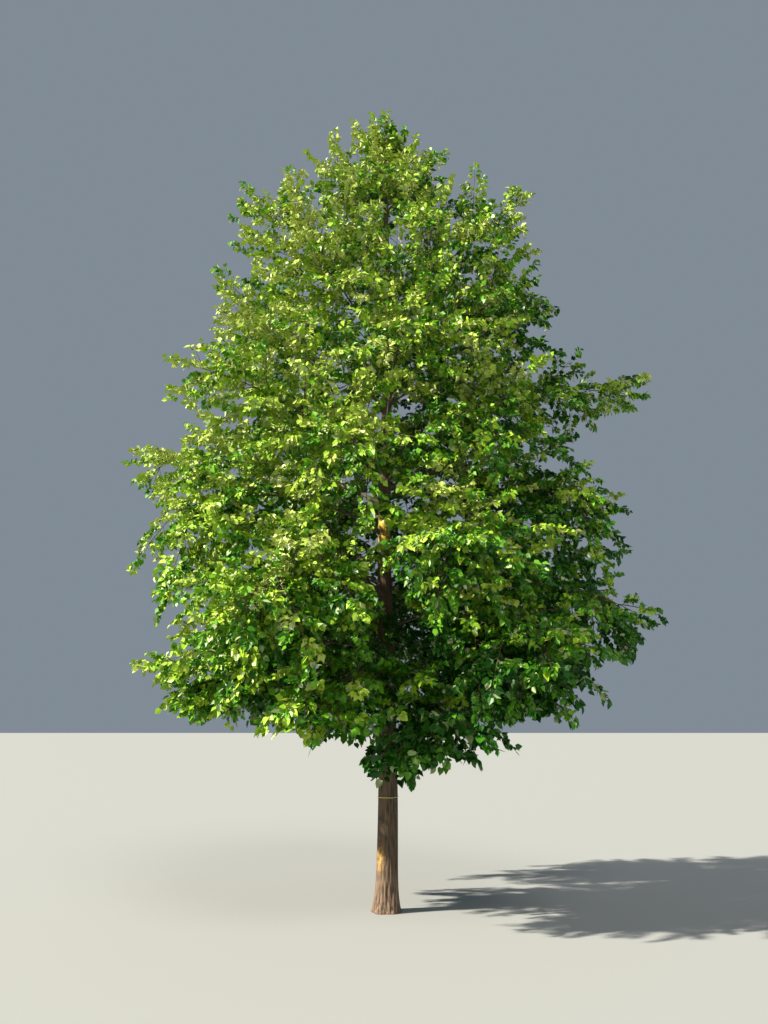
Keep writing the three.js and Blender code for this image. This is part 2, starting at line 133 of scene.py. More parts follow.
# The spray at the tip of a stem: its length, and how much of that lies in the stem.
SPRAY_LENGTH_LOW = 0.45
SPRAY_LENGTH_HIGH = 0.38
TIP_SPRAY_SUNK = 0.045

# Twigs that fork from a stem
TWIGS_LOW = 22
TWIGS_HIGH = 9
TWIG_LENGTH = 0.9
TWIG_SHORTENING_LOW = 0.25
TWIG_SHORTENING_HIGH = 0.5
TWIG_LENGTH_JITTER = 0.2
TWIG_FORK = 52
TWIG_FORK_JITTER = 10
TWIG_TILT = 85
TWIG_PLACE_JITTER = 0.3
TWIG_BEND_LOW = -34
TWIG_BEND_HIGH = 24
TWIG_ROOT_RADIUS = 0.0055
TWIG_TIP_RADIUS = 0.0022
TWIG_POINTS = 7
TWIG_SIDES = 4
TWIG_LEAST = 0.1
TWIG_BARE = 0.04
STEEPEST_RISE = 75
# A line whose level part is shorter than this has no side of its own.
UPRIGHT = 0.3
# How far a twig may reach into its neighbours' space, and the room that it leaves for the shoot at its tip.
CELL_OVERLAP = 0.14
SHOOT_ROOM = 0.2

# Twigs that hang from the lowest limbs to the hem of the crown
HEM_LIMBS = 7
HEM_TWIGS = 6
HEM_FROM = 0.4
HEM_TWIG_LENGTH = 0.7
HEM_TURN = 80
HEM_RISE = -50
HEM_TIP_RISE = -80

# Short twigs on the trunk, between the roots of the limbs
TRUNK_TWIGS = 22
TRUNK_TWIGS_FROM = 1.95
TRUNK_TWIGS_TO = 2.9
TRUNK_TWIG_LENGTH = 0.42
TRUNK_TWIG_RISE = 30
TRUNK_TWIG_TIP_RISE = -25

# The leader's own mass, and the masses that shoot from the foot of the crown
LEADER_TWIGS = 18
LEADER_TWIG_LENGTH = 0.62
LEADER_TWIG_START = 0.04
LEADER_FORK = 38
LEADER_LEAF_LENGTH = 0.3
LOW_SHOOTS = (
    SimpleNamespace(
        height=2.12, azimuth=-112, length=1.55, tip_rise=-42, foot=1.4, twigs=18, twig_length=0.55
    ),
    SimpleNamespace(
        height=1.96, azimuth=-72, length=1.1, tip_rise=-52, foot=1.15, twigs=14, twig_length=0.7
    ),
    SimpleNamespace(
        height=1.42, azimuth=-78, length=0.3, tip_rise=-30, foot=1.05, twigs=7, twig_length=0.22
    ),
)
LOW_SHOOT_RISE = 8
LOW_SHOOT_RADIUS = 0.008
LOW_SHOOT_TWIG_START = 0.25
# The key of the last of them, and the length of its leafy shoots as a share of the others'.
SPROUTS = LIMBS + len(LOW_SHOOTS)
SPROUT_SHARE = 0.5

# Leafy shoots that fork from twigs and stems
SHOOT_SPACING_LOW = 0.072
SHOOT_SPACING_HIGH = 0.06
SHOOT_LENGTH = 0.33
SHOOT_LENGTH_JITTER = 0.2
# How much shorter the shoots at the tip of a twig are than those at its root.
SHOOT_TAPER_LOW = 0.3
SHOOT_TAPER_HIGH = 0.45
SIDE_SHOOT_LESS = 0.2
SHOOT_FORK = 46
SHOOT_FORK_JITTER = 14
SHOOT_TILT = 45
SHOOT_BEND_LOW = -16
SHOOT_BEND_HIGH = 14
SHOOT_BEND_JITTER = 12
SHOOT_STEPS = 2
SHOOT_SIDES = 3
SHOOT_ROOT_RADIUS = 0.0022
SHOOT_TIP_RADIUS = 0.0011
# The lengths that a shoot is tried at, as shares.
SHOOT_CUTS = (1, 0.85, 0.7, 0.55, 0.4)
# The room for leaves past the tip of a shoot, and how far it may reach into its neighbours' space and out of
# the outline, with more of that on the spire.
TIP_ROOM = 0.06
SHOOT_OVERLAP = 0.45
SHOOT_SLACK = 0.02
SPIRE_SLACK = 0.09
SPIRE_HEIGHT = 7.1
# How far past the solids' box the tips of shoots may lie.
LEAF_ROOM = 0.04
# How far the tips of the lowest shoots stay above the foot of their mass, as their leaves hang lower still.
LOWEST_SHOOT = 0.1
LOWEST_SHOOT_JITTER = 0.1
# The share of shoots that is left at the trunk, and how far out all of them are, as a share of the reach.
# All of them are also left high and low in the crown.
INNER_SHARE = 0.25
FULL_FROM = 0.62
FULL_ABOVE = 6.1
FULL_BELOW = 2.8
# An opening in the leaves before the trunk: its middle, half its width, its foot and its top, and the share
# of shoots that is left in it.
OPENING_X = -0.02
OPENING_HALF_WIDTH = 0.15
OPENING_FOOT = 1.5
OPENING_TOP = 4.2
OPENING_SHARE = 0.3

# Leaves: their length high in the crown, how much more it is at the foot, and over what height that fades
LEAF_LENGTH = 0.041
LEAF_LONGER = 0.022
LEAF_FADE = 0.6
LEAF_LENGTH_JITTER = 0.34
# A leaf halfway along its shoot is the longest: the least share of that length, and how much it swells.
LEAF_SWELL_LEAST = 0.78
LEAF_SWELL = 0.3
LEAF_SWELL_FROM = 0.12
LEAF_SWELL_OVER = 0.72
# The way between two leaves on a shoot, as a share of their length.
LEAF_SPACING = 0.172
LEAF_BARE = 0.045
LEAST_LEAVES = 2
LEAF_FORK = 56
LEAF_FORK_JITTER = 12
LEAF_TILT = 30
LEAF_SIDE_JITTER = 0.05
PETIOLE_LENGTH = 0.6
PETIOLE_LENGTH_JITTER = 0.3
PETIOLE_RADIUS = 0.0012
PETIOLE_LIFT = 0.05
PETIOLE_LIFT_JITTER = 0.25
# How much a blade's way follows its petiole, turns out of the crown and hangs down.
BLADE_ALONG = 0.75
BLADE_OUT = 0.1
BLADE_JITTER = 0.5
BLADE_DROOP = 0.35
BLADE_DROOP_JITTER = 0.45
# How much a blade's upper face turns out of the crown, where 1 is how much it turns up.
FACE_OUT = 0.2
FACE_JITTER = 1.1
# How strongly a blade folds and curls, where 1 is as drawn and less than 0 is the other way.
CURL = 0.9
CURL_JITTER = 1.2
# Midrib of a leaf of length 1, and the right-hand outline of a large leaf and a small one: along, across, up.
MIDRIB = ((0, 0, 0), (1.05, 0, -0.16))
LARGE_MARGIN = ((-0.09, 0.24, 0.07), (0.16, 0.47, 0.12), (0.58, 0.4, 0.07))
SMALL_MARGIN = ((-0.06, 0.3, 0.1), (0.45, 0.47, 0.1))
LARGE_LEAF = 0.06

# Tones of the leaves, from the darkest to the freshest: name, base colour, and share of the leaves. They are
# partly the leaves' own colours and partly painted sunlight and shade.
TONES = (
    ("leaves_shade", (0.012, 0.090, 0.003), 0.13),
    ("leaves_deep", (0.032, 0.154, 0.005), 0.16),
    ("leaves_dull", (0.068, 0.216, 0.007), 0.16),
    ("leaves_mid", (0.115, 0.320, 0.011), 0.16),
    ("leaves_warm", (0.258, 0.430, 0.020), 0.14),
    ("leaves_bright", (0.355, 0.515, 0.042), 0.14),
    ("leaves_fresh_and_sunlit", (0.385, 0.470, 0.088), 0.11),
)
# A leaf that lies with its pale underside up.
TURNED_SHARE = 0.06
TURNED = ("leaves_turned", (0.360, 0.450, 0.200), TURNED_SHARE)
LEAF_ROUGHNESS = 0.42
LEAF_IOR = 1.4
# What gives a shoot's leaves a lighter, fresher tone, partly their own colour and partly painted sunlight and
# shade: how far out it is, its height, the sunny side, and how far it is above the stem of its mass.
DEPTH_WEIGHT = 0.42
HEIGHT_WEIGHT = 0.42
HEIGHT_POWER = 0.75
SUN_WEIGHT = 0.26
ABOVE_WEIGHT = 0.5
ABOVE_LIMIT = 0.3
# The luck of one shoot, of all shoots on a twig, and of a spray of a few leaves.
SHOOT_LUCK = 0.26
TWIG_LUCK = 0.17
SPRAY_LUCK = 0.24
LEAVES_PER_SPRAY = 4
# How much more the tones differ by luck at the top of the tree.
HIGHER_CONTRAST = 0.6
# How much darker the leaves get towards the hem of the crown, from what height and over what depth, and how
# much less they do so on the sunny side.
HEM_SHADE = 0.15
HEM_SHADE_TOP = 2.9
HEM_SHADE_DEPTH = 1.1
HEM_SUN = 0.7

# Bracts, each with a few flower buds on a stalk
BRACTS_PER_SHOOT = 1.7
BRACTS_FROM = 0.1
# Where on a shoot they are, from its root to its tip.
BRACT_PLACES = (0.35, 0.95)
BRACT_LENGTH = 0.06
BRACT_SCALES = (0.75, 1.2)
BRACT_ALONG = 0.5
BRACT_JITTER = 0.6
BRACT_DROOP = 0.55
BRACT_COLOR = (0.56, 0.62, 0.24)
# Right-hand outline of a bract of length 1.
BRACT_MARGIN = ((0, 0, 0), (0.3, 0.11, 0.02), (0.75, 0.12, -0.03), (1, 0, -0.12))
# Where the buds' stalk leaves the bract and how long it is, as shares of the bract.
BUD_STALK_PLACE = 0.35
BUD_STALK_LENGTH = 0.75
BUDS = 3
BUD_SIZE = 0.007
BUD_SCALES = (0.7, 1.2)
BUD_SPREAD = 0.012
# A bud of size 1: a small tetrahedron.
BUD = ((0, 0, 1), (0.94, 0, -0.33), (-0.47, 0.82, -0.33), (-0.47, -0.82, -0.33))
BUD_FACES = ((0, 1, 2), (0, 2, 3), (0, 3, 1), (1, 3, 2))

# Bark of the trunk
TRUNK_SIDES = 128
TRUNK_STEPS = 200
TRUNK_STEP_POWER = 1.35
RELIEF_DEPTH = 0.0042
RELIEF_FADE = 1.7
# Ridges round the trunk: how many, how the swirl moves them, how they turn with the height, and their share.
RIDGES = ((27, 9, 0, 1), (38, -13, 4.1, 0.7), (17, 0, 21, 0.5))
# The swirl: how it turns with the height and round the trunk, and its share.
SWIRL = ((1.9, 2, 0.35), (5.3, 3, 0.2))
# The level of the ridges above which the bark isn't cut in, and the deepest cut below it.
RIDGE_LEVEL = 0.2
RIDGE_LIMIT = 1.5
# Its colours, each from dark to light.
GREY_BARK = ((0.113, 0.077, 0.045), (0.180, 0.127, 0.078))
BROWN_BARK = ((0.105, 0.066, 0.040), (0.175, 0.118, 0.074))
# The foot's colours are lighter partly as painted sunlight, which fades out where the crown's shadow begins.
SUNLIT_FOOT_BARK = ((0.25, 0.153, 0.102), (0.39, 0.25, 0.168))
# Dark furrows: the bark's own darker fissures, with painted shade in them.
FURROW_COLOR = (0.060, 0.041, 0.028)
# How deep the furrows look, where 1 is how much the grain stands out.
FURROW_SINK = 0.8
# Patches on it: the middle, how far they reach along each axis, and the colour.
LOW_LICHEN = SimpleNamespace(
    middle=(-0.065, -0.07, 0.465), size=(0.075, 0.09, 0.16), color=(0.54, 0.325, 0.085)
)
# The high patch is the same lichen as the low one, its colour lighter as painted sunlight.
SUNLIT_HIGH_LICHEN = SimpleNamespace(middle=(-0.03, -0.06, 3.40), size=(0.11, 0.09, 0.26), color=(0.88, 0.56, 0.06))
SCAR = SimpleNamespace(middle=(-0.063, -0.064, 0.80), size=(0.03, 0.04, 0.036), color=(0.045, 0.035, 0.030))
HEALED = SimpleNamespace(middle=SCAR.middle, size=(0.018, 0.03, 0.020), color=(0.15, 0.105, 0.08))
# The part of a patch, from its middle, that has its full colour.
PATCH_CORE = 0.35

# Colours of the other barks, the buds and the twine, each from dark to light
BOUGH_BARK = ((0.075, 0.062, 0.046), (0.17, 0.14, 0.10))
TWIG_BARK = ((0.065, 0.045, 0.032), (0.14, 0.095, 0.06))
SHOOT_BARK = ((0.09, 0.10, 0.03), (0.17, 0.10, 0.05))
BUD_SKIN = ((0.50, 0.52, 0.20), (0.66, 0.62, 0.32))
TWINE = ((0.80, 0.68, 0.10), (0.92, 0.84, 0.26))

# The girth mark: a ring of twine
MARK_HEIGHT = 0.98
MARK_RADIUS = 0.0034
MARK_SIDES = 6
MARK_STEPS = 96
# How it rises on one side and waves, and how far its middle lies out of the bark, as a share of its radius.
MARK_TILT = 0.003
MARK_WAVE = 0.001
MARK_SEAT = 0.6

# Camera, floor and light
CAMERA_PLACE = (-0.02, -9.75, 1.73)
CAMERA_PITCH = 10.78
CAMERA_LENS = 36.91
SENSOR_WIDTH = 36
VIEW_DEPTH = 300
FLOOR_HALF_WIDTH = 80
FLOOR_DEPTH = 0.002
FLOOR_COLOR = (0.305, 0.312, 0.308)
SKY_COLOR = (0.66, 0.79, 0.93)
SKY_STRENGTH = 0.33
SUN_AZIMUTH = 198
SUN_RISE = 35.5

# A length that keeps a vector from being 0.
TINY = 1e-6

SEED = 20731
LUCK = SimpleNamespace(
    azimuth=1,
    reach=2,
    root_rise=3,
    tip_rise=4,
    side_bend=5,
    twig_place=11,
    twig_tilt=12,
    twig_fork=13,
    twig_length=14,
    hem_turn=15,
)
rng = np.random.default_rng(SEED)


# A number from 0 to 1 that depends only on its keys, so that every limb keeps its own luck. The odd factors
# mix the bits of a 32-bit number.
def chance(*keys):
    h = SEED
    for key in keys:
        h = ((h ^ key) * 0x9E3779B1) & 0xFFFFFFFF
        h ^= h >> 15
    h = (h * 0x85EBCA6B) & 0xFFFFFFFF
    h ^= h >> 13
    return h / 2**32


def jitter(size, *keys):
    return size * (2 * chance(*keys) - 1)


# An array of random numbers that lie at most so far from 0.
def scatter(size, *shape):
    return rng.uniform(-size, size, shape)


def lerp(a, b, u):
    return a + (b - a) * u


def unit(vectors):
    return vectors / np.linalg.norm(vectors, axis=-1, keepdims=True)


def direction(azimuth, rise):
    azimuth, rise = np.radians(azimuth), np.radians(rise)
    return np.stack([np.cos(rise) * np.cos(azimuth), np.cos(rise) * np.sin(azimuth), np.sin(rise)], axis=-1)


def azimuth_of(vectors):
    return np.degrees(np.arctan2(vectors[..., 1], vectors[..., 0]))


def rise_of(unit_vectors):
    return np.degrees(np.arcsin(np.clip(unit_vectors[..., 2], -1, 1)))


# The vectors turned about their axes by so many degrees.
def turned(vectors, axes, degrees):
    angle = np.radians(degrees)[..., None]
    along = (vectors * axes).sum(-1, keepdims=True) * axes
    return along + (vectors - along) * np.cos(angle) + np.cross(axes, vectors) * np.sin(angle)


# Level vectors at right angles to the given ones, the shorter the steeper these are.
def level_across(vectors):
    return np.stack([-vectors[..., 1], vectors[..., 0], np.zeros(vectors.shape[:-1])], axis=-1)


# How far the crown reaches from the trunk at some heights, in some directions.
def crown_reach(height, azimuth):
    height, azimuth = np.broadcast_arrays(np.asarray(height, float), np.asarray(azimuth, float))
    u = np.clip((height - SHOULDER_HEIGHT) / (TREE_HEIGHT - SHOULDER_HEIGHT), 0, 1)
    spire = SHOULDER_REACH * (1 - u) ** SPIRE_POWER
    side = lerp(WIDEST_REACH, SHOULDER_REACH, (height - WIDEST_HEIGHT) / (SHOULDER_HEIGHT - WIDEST_HEIGHT))
    u = np.clip((height - SKIRT_HEIGHT) / (WIDEST_HEIGHT - SKIRT_HEIGHT), 0, 1)
    skirt = lerp(SKIRT_REACH, WIDEST_REACH, u * u * (3 - 2 * u))
    reach = np.where(height > SHOULDER_HEIGHT, spire, np.where(height > WIDEST_HEIGHT, side, skirt))
    for spur_height, spur_azimuth, extra in SPURS:
        up = (height - spur_height) / SPUR_HALF_HEIGHT
        turn = ((azimuth - spur_azimuth + 180) % 360 - 180) / SPUR_HALF_ANGLE
        reach = reach + extra * np.exp(-up * up - turn * turn)
    return np.where(height > TREE_HEIGHT, 0, reach)


# How far from the trunk points lie, as a share of the crown's reach there.
def depth_in_crown(points):
    reach = crown_reach(points[:, 2], azimuth_of(points))
    return np.hypot(points[:, 0], points[:, 1]) / np.maximum(LEAST_REACH, reach)


def trunk_radius(height):
    taper = ((TAPER_HEIGHT - height) / (TAPER_HEIGHT - GIRTH_MARK_HEIGHT)) ** TAPER_POWER
    return GIRTH_MARK_RADIUS * taper + FLARE_RADIUS * np.exp(-height / FLARE_HEIGHT)


def trunk_centre(height):
    height = np.asarray(height, float)
    turn = 2 * np.pi * height / SWAY_LENGTH
    return np.stack([TRUNK_SWAY * np.sin(turn), TRUNK_SWAY * (1 - np.cos(turn)) / 2, height], axis=-1)


# Points on one line of equal steps, where u runs from 0 at its root to 1 at its tip.
def point_on(line, u):
    place = np.clip(u, 0, 1) * (len(line) - 1)
    i = np.minimum(np.floor(place).astype(int), len(line) - 2)
    return lerp(line[i], line[i + 1], (place - i)[..., None])


def tangent_on(line, u):
    step = 0.5 / (len(line) - 1)
    return unit(point_on(line, u + step) - point_on(line, u - step))


# Points on many lines at once, and the ways of the lines there: row i of lines at place u[i].
def points_along(lines, rows, u):
    place = np.clip(u, 0, 1) * (lines.shape[1] - 1)
    i = np.minimum(np.floor(place).astype(int), lines.shape[1] - 2)
    a, b = lines[rows, i], lines[rows, i + 1]
    return a + (b - a) * (place - i)[:, None], unit(b - a)


# Lines that leave at one rise and reach their tips at another, and turn evenly to one side.
def bent_lines(starts, azimuth, length, root_rise, tip_rise, side_bend, steps):
    u = (np.arange(steps) + 0.5) / steps
    azimuths = azimuth[:, None] + side_bend[:, None] * (2 * u - 1)
    rises = lerp(root_rise[:, None], tip_rise[:, None], u)
    parts = direction(azimuths, rises) * (length / steps)[:, None, None]
    return np.concatenate([starts[:, None], starts[:, None] + np.cumsum(parts, axis=1)], axis=1)


def bent_line(start, azimuth, length, root_rise, tip_rise, side_bend=0):
    values = (np.array([value], float) for value in (azimuth, length, root_rise, tip_rise, side_bend))
    return bent_lines(start[None], *values, LINE_STEPS)[0]


def limb(k):
    t = k / (LIMBS - 1)
    azimuth = FIRST_AZIMUTH + k * GOLDEN_ANGLE + jitter(AZIMUTH_JITTER, k, LUCK.azimuth)
    tip_height = lerp(LOWEST_TIP, HIGHEST_TIP, t**TIP_SPACING)
    reach = float(crown_reach(tip_height, azimuth)) * (1 + jitter(REACH_JITTER, k, LUCK.reach))
    root_rise = lerp(ROOT_RISE_LOW, ROOT_RISE_HIGH, t) + jitter(RISE_JITTER, k, LUCK.root_rise)
    tip_rise = lerp(TIP_RISE_LOW, TIP_RISE_HIGH, t) + jitter(RISE_JITTER, k, LUCK.tip_rise)
    side_bend = jitter(SIDE_BEND, k, LUCK.side_bend)
    angles = np.radians(lerp(root_rise, tip_rise, (np.arange(LINE_STEPS) + 0.5) / LINE_STEPS))
    spray = lerp(SPRAY_LENGTH_LOW, SPRAY_LENGTH_HIGH, t) - TIP_SPRAY_SUNK
    tip_angle = math.radians(tip_rise)
    length = (reach - spray * math.cos(tip_angle)) / np.cos(angles).mean()
    root_height = tip_height - spray * math.sin(tip_angle) - length * np.sin(angles).mean()
    has_bough = k < LIMBS - LIMBS_WITHOUT_BOUGH
    root = lerp(ROOT_RADIUS_LOW, ROOT_RADIUS_HIGH, t)

    def radius_at(u):
        free = np.maximum(0, u * length - trunk_radius(root_height))
        collar = root * COLLAR_SHARE * np.exp(-free / COLLAR_LENGTH) * (1 - u / MASS_START)
        stem = lerp(MASS_START_RADIUS, STEM_TIP_RADIUS, (u - MASS_START) / (1 - MASS_START))
        return np.where(u > MASS_START, stem, lerp(root, MASS_START_RADIUS, u / MASS_START) + collar)

    return SimpleNamespace(
        key=k,
        t=t,
        line=bent_line(trunk_centre(root_height), azimuth, length, root_rise, tip_rise, side_bend),
        length=length,
        stem_start=MASS_START + CLEARANCE / length if has_bough else 0,
        twig_start=MASS_START,
        twigs=round(lerp(TWIGS_LOW, TWIGS_HIGH, t)),
        twig_length=TWIG_LENGTH,
        shortening=lerp(TWIG_SHORTENING_LOW, TWIG_SHORTENING_HIGH, t),
        fork=TWIG_FORK,
        bend=lerp(TWIG_BEND_LOW, TWIG_BEND_HIGH, t),
        foot=LIMB_FOOT,
        radius_at=radius_at,
    )


def leader():
    length = TREE_HEIGHT - LEADER_LEAF_LENGTH + TIP_SPRAY_SUNK - TRUNK_TOP
    return SimpleNamespace(
        key=LIMBS,
        t=1,
        line=bent_line(trunk_centre(TRUNK_TOP), 0, length, 90, 90),
        length=length,
        stem_start=CLEARANCE / length,
        twig_start=LEADER_TWIG_START,
        twigs=LEADER_TWIGS,
        twig_length=LEADER_TWIG_LENGTH,
        shortening=TWIG_SHORTENING_HIGH,
        fork=LEADER_FORK,
        bend=TWIG_BEND_HIGH,
        foot=CROWN_FOOT,
        radius_at=lambda u: lerp(trunk_radius(TRUNK_TOP), STEM_TIP_RADIUS, u),
    )


def low_shoot(key, plan):
    return SimpleNamespace(
        key=key,
        t=0,
        line=bent_line(trunk_centre(plan.height), plan.azimuth, plan.length, LOW_SHOOT_RISE, plan.tip_rise),
        length=plan.length,
        stem_start=0,
        twig_start=LOW_SHOOT_TWIG_START,
        twigs=plan.twigs,
        twig_length=plan.twig_length,
        shortening=TWIG_SHORTENING_LOW,
        fork=TWIG_FORK,
        bend=TWIG_BEND_LOW,
        foot=plan.foot,
        radius_at=lambda u: lerp(LOW_SHOOT_RADIUS, STEM_TIP_RADIUS, u),
    )


limbs = [limb(k) for k in range(LIMBS)]
limbs.append(leader())
limbs += [low_shoot(LIMBS + 1 + i, plan) for i, plan in enumerate(LOW_SHOOTS)]
feet = np.array([owner.foot for owner in limbs])
line_steps = np.linspace(0, 1, LINE_STEPS + 1)
stems = [owner.line[line_steps >= owner.stem_start - STEM_LEAD] for owner in limbs]
box_middle = (np.array(cad_box[1]) + cad_box[0]) / 2
box_half = (np.array(cad_box[1]) - cad_box[0]) / 2


# Whether points lie nearer to their own stem than to any other, and inside the outline.
def is_own_space(points, owner, overlap, slack):
    reach = crown_reach(points[:, 2], azimuth_of(points)) + slack
    inside = (points[:, 2] <= TREE_HEIGHT + slack) & (points[:, 2] >= feet[owner])
    inside &= (np.abs(points - box_middle) < box_half + LEAF_ROOM).all(1)
    inside &= np.hypot(points[:, 0], points[:, 1]) <= reach
    away = np.stack([np.linalg.norm(points[:, None] - stem, axis=-1).min(1) for stem in stems], axis=1)
    rows = np.arange(len(points))
    own = away[rows, owner] - overlap
    away[rows, owner] = np.inf
    return inside & (away.min(1) > own)


# How far points lie above the stems of their own masses.
def height_above_stem(points, owners):
    above = np.zeros(len(points))
    for key, stem in enumerate(stems):
        own = owners == key
        away = np.linalg.norm(points[own, None] - stem, axis=-1)
        above[own] = points[own, 2] - stem[away.argmin(1), 2]
    return above


# A twig that ends where the space of its owner does.
def cut_to_space(line, wanted, owner):
    tips = line[1:] + tangent_on(line, line_steps[1:]) * SHOOT_ROOM
    has_room = is_own_space(tips, np.full(LINE_STEPS, owner.key), CELL_OVERLAP, 0)
    last = LINE_STEPS if has_room.all() else int(np.argmin(has_room))
    points = point_on(line, np.linspace(0, last / LINE_STEPS, TWIG_POINTS))
    return SimpleNamespace(line=points, length=wanted * last / LINE_STEPS, owner=owner)


# A twig that forks from the stem to one side, tilted up or down.
def grow_twig(owner, i):
    u = (i + 0.5 + jitter(TWIG_PLACE_JITTER, owner.key, i, LUCK.twig_place)) / owner.twigs
    place = np.float64(lerp(owner.twig_start, 1, u))
    along = tangent_on(owner.line, place)
    side = level_across(along)
    if np.linalg.norm(side) < UPRIGHT:
        side = direction(i * GOLDEN_ANGLE, 0)
    side = unit(side) * (1 if i % 2 else -1)
    tilt = TWIG_TILT * (2 * ((i // 2 * GOLDEN_SHARE + chance(owner.key, LUCK.twig_tilt)) % 1) - 1)
    side = turned(side, along, np.float64(tilt))
    fork = math.radians(owner.fork + jitter(TWIG_FORK_JITTER, owner.key, i, LUCK.twig_fork))
    way = along * math.cos(fork) + side * math.sin(fork)
    luck = jitter(TWIG_LENGTH_JITTER, owner.key, i, LUCK.twig_length)
    wanted = owner.twig_length * (1 - owner.shortening * u) * (1 + luck)
    rise = rise_of(way)
    tip_rise = np.clip(rise + owner.bend, -STEEPEST_RISE, STEEPEST_RISE)
    line = bent_line(point_on(owner.line, place), azimuth_of(way), wanted, rise, tip_rise)
    return cut_to_space(line, wanted, owner)


# A twig that hangs from a low limb and turns to either side of its way.
def hem_twig(owner, i):
    place = np.float64(lerp(HEM_FROM, 1, (i + 0.5) / HEM_TWIGS))
    azimuth = azimuth_of(tangent_on(owner.line, place)) + jitter(HEM_TURN, owner.key, i, LUCK.hem_turn)
    line = bent_line(point_on(owner.line, place), azimuth, HEM_TWIG_LENGTH, HEM_RISE, HEM_TIP_RISE)
    return cut_to_space(line, HEM_TWIG_LENGTH, owner)


# A short twig that grows on the trunk itself, between the roots of the limbs.
def trunk_twig(i):
    start = trunk_centre(lerp(TRUNK_TWIGS_FROM, TRUNK_TWIGS_TO, i / (TRUNK_TWIGS - 1)))
    line = bent_line(start, i * GOLDEN_ANGLE, TRUNK_TWIG_LENGTH, TRUNK_TWIG_RISE, TRUNK_TWIG_TIP_RISE)
    away = [np.linalg.norm(stem - line[-1], axis=1).min() for stem in stems]
    points = point_on(line, np.linspace(0, 1, TWIG_POINTS))
    return SimpleNamespace(line=points, length=TRUNK_TWIG_LENGTH, owner=limbs[int(np.argmin(away))])


twigs = [grow_twig(owner, i) for owner in limbs for i in range(owner.twigs)]
twigs += [hem_twig(owner, i) for owner in limbs[:HEM_LIMBS] for i in range(HEM_TWIGS)]
twigs += [trunk_twig(i) for i in range(TRUNK_TWIGS)]
twigs = [twig for twig in twigs if twig.length > TWIG_LEAST]


# Where shoots fork from one line: at its tip, and by turns on either side of it, down to its bare foot.
def shoot_places(line, length, bare, owner, bunch):
    at = np.arange(length, bare, -lerp(SHOOT_SPACING_LOW, SHOOT_SPACING_HIGH, owner.t))
    side = np.where(np.arange(len(at)) % 2, 1.0, -1.0)
    side[:1] = 0
    u = at / length
    owners = np.full(len(at), owner.key)
    return point_on(line, u), tangent_on(line, u), side, u, owners, np.full(len(at), bunch)


# The share of shoots that is left: fewer deep in the crown, and few in the opening before the trunk.
def shoot_share(starts, owners):
    share = lerp(INNER_SHARE, 1, np.clip(depth_in_crown(starts) / FULL_FROM, 0, 1))
    share[(starts[:, 2] > FULL_ABOVE) | (starts[:, 2] < FULL_BELOW) | (owners > LIMBS)] = 1
    in_opening = (starts[:, 1] < 0) & (np.abs(starts[:, 0] - OPENING_X) < OPENING_HALF_WIDTH)
    in_opening &= (starts[:, 2] > OPENING_FOOT) & (starts[:, 2] < OPENING_TOP)
    return np.where(in_opening, OPENING_SHARE, share)


# Shoots on all twigs and stems. One that would leave its space is cut shorter, or is left out.
def grow_shoots():
    carriers = [(twig.line, twig.length, TWIG_BARE, twig.owner) for twig in twigs]
    carriers += [(owner.line, owner.length, owner.twig_start * owner.length, owner) for owner in limbs]
    rows = [shoot_places(*carrier, bunch) for bunch, carrier in enumerate(carriers)]
    starts, alongs, sides, places, owners, bunches = map(np.concatenate, zip(*rows))
    count = len(starts)
    t = np.array([owner.t for owner in limbs])[owners]
    across = level_across(alongs)
    steep = np.linalg.norm(across, axis=-1) < UPRIGHT
    across[steep] = direction(rng.uniform(0, 360, steep.sum()), np.zeros(steep.sum()))
    across = turned(unit(across), alongs, scatter(SHOOT_TILT, count))
    fork = np.radians(sides * (SHOOT_FORK + scatter(SHOOT_FORK_JITTER, count)))[:, None]
    way = unit(alongs * np.cos(fork) + across * np.sin(fork))
    azimuth = azimuth_of(way)
    root_rise = rise_of(way)
    bend = lerp(SHOOT_BEND_LOW, SHOOT_BEND_HIGH, t) + scatter(SHOOT_BEND_JITTER, count)
    tip_rise = np.clip(root_rise + bend, -STEEPEST_RISE, STEEPEST_RISE)
    taper = lerp(SHOOT_TAPER_LOW, SHOOT_TAPER_HIGH, t) * places * np.abs(sides)
    length = SHOOT_LENGTH * (1 - taper - SIDE_SHOOT_LESS * t * np.abs(sides))
    length *= 1 + scatter(SHOOT_LENGTH_JITTER, count)
    length[owners == SPROUTS] *= SPROUT_SHARE
    lowest = feet[owners] + LOWEST_SHOOT + scatter(LOWEST_SHOOT_JITTER, count)
    side_bend = np.zeros(count)
    chosen = np.zeros(count)
    for cut in SHOOT_CUTS:
        lines = bent_lines(starts, azimuth, length * cut, root_rise, tip_rise, side_bend, SHOOT_STEPS)
        tips = lines[:, -1] + unit(lines[:, -1] - lines[:, -2]) * TIP_ROOM
        slack = SHOOT_SLACK + SPIRE_SLACK * (tips[:, 2] > SPIRE_HEIGHT)
        fits = is_own_space(tips, owners, SHOOT_OVERLAP, slack) & (tips[:, 2] > lowest)
        chosen = np.where((chosen == 0) & fits, cut, chosen)
    length *= chosen
    lines = bent_lines(starts, azimuth, length, root_rise, tip_rise, side_bend, SHOOT_STEPS)
    keep = (chosen > 0) & (rng.uniform(0, 1, count) < shoot_share(starts, owners))
    return SimpleNamespace(
        lines=lines[keep], length=length[keep], t=t[keep], owner=owners[keep], bunch=bunches[keep]
    )


shoots = grow_shoots()


